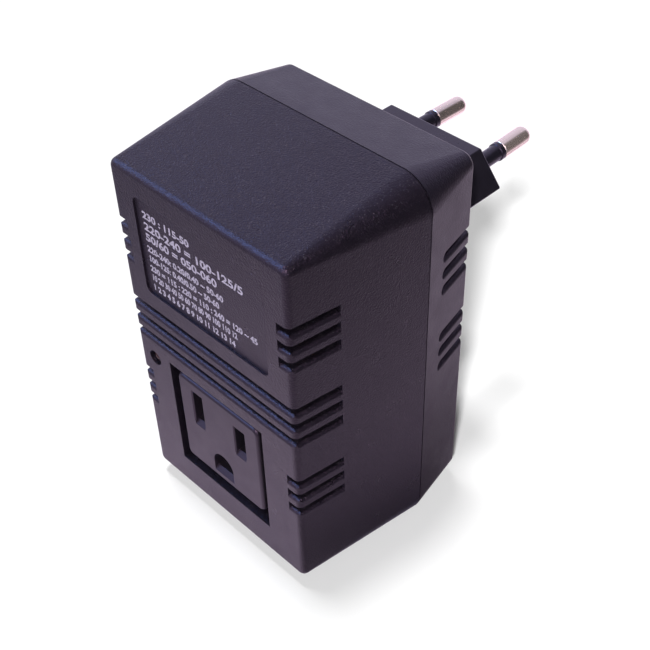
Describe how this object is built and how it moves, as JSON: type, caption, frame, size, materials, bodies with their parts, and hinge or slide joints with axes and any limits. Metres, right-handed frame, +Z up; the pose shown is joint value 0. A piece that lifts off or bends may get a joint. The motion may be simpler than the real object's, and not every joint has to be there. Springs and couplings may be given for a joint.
{
  "type": "plug-in voltage transformer",
  "caption": "Black louvred plug-in step-down transformer with a flat-blade socket and a pilot lamp on its front and a flat round-pin plug on its back.",
  "frame": {"origin": "On the ground plane under the middle of the whole part: half the overall width, half the overall depth over the pins, lowest edge of the case at z = 0.", "axes": "X runs to the right seen from the socket face, Y from the socket face towards the wall plug, Z up."},
  "size_m": [0.0558, 0.0823, 0.0885],
  "materials": {
    "black_abs": "fine textured moulding",
    "dark_nylon": "smooth moulding",
    "zinc_steel": "zinc plated",
    "contact_brass": "rolled strip",
    "red_lens": "tinted clear resin, unlit",
    "tinned_wire": "tinned",
    "resistor_lacquer": "lacquer",
    "white_insulation": "PVC",
    "black_insulation": "PVC",
    "red_insulation": "PVC",
    "pin_nickel": "nickel plated",
    "sleeve_plastic": "smooth sleeve",
    "silicon_steel": "punched sheet",
    "white_nylon": "natural nylon",
    "copper_wire": "enamelled wire",
    "yellow_tape": "polyester tape",
    "fish_paper": "pressed card",
    "fuse_case": "moulded body"
  },
  "bodies": {
    "root": {"front_shell": "black_abs", "rear_cover": "black_abs", "case_screws": "zinc_steel", "socket_insert": "dark_nylon", "neutral_contact": "contact_brass", "line_contact": "contact_brass", "earth_contact": "contact_brass", "contact_retainer": "dark_nylon", "retainer_screws": "zinc_steel", "socket_screws": "zinc_steel", "pilot_lamp": "red_lens", "lamp_leads": "tinned_wire", "lamp_resistor": "resistor_lacquer", "lamp_wires": "white_insulation", "plug_block": "black_abs", "left_pin": "pin_nickel", "right_pin": "pin_nickel", "left_pin_sleeve": "sleeve_plastic", "right_pin_sleeve": "sleeve_plastic", "core_e_plates": "silicon_steel", "core_i_plates": "silicon_steel", "transformer_frame": "zinc_steel", "winding_former": "white_nylon", "common_winding": "copper_wire", "layer_tape": "yellow_tape", "series_winding": "copper_wire", "cover_tape": "yellow_tape", "winding_terminals": "tinned_wire", "insulation_card": "fish_paper", "thermal_fuse": "fuse_case", "common_wire": "black_insulation", "fused_wire": "red_insulation", "neutral_wire": "white_insulation", "line_wire": "red_insulation"}
  },
  "joints": []
}
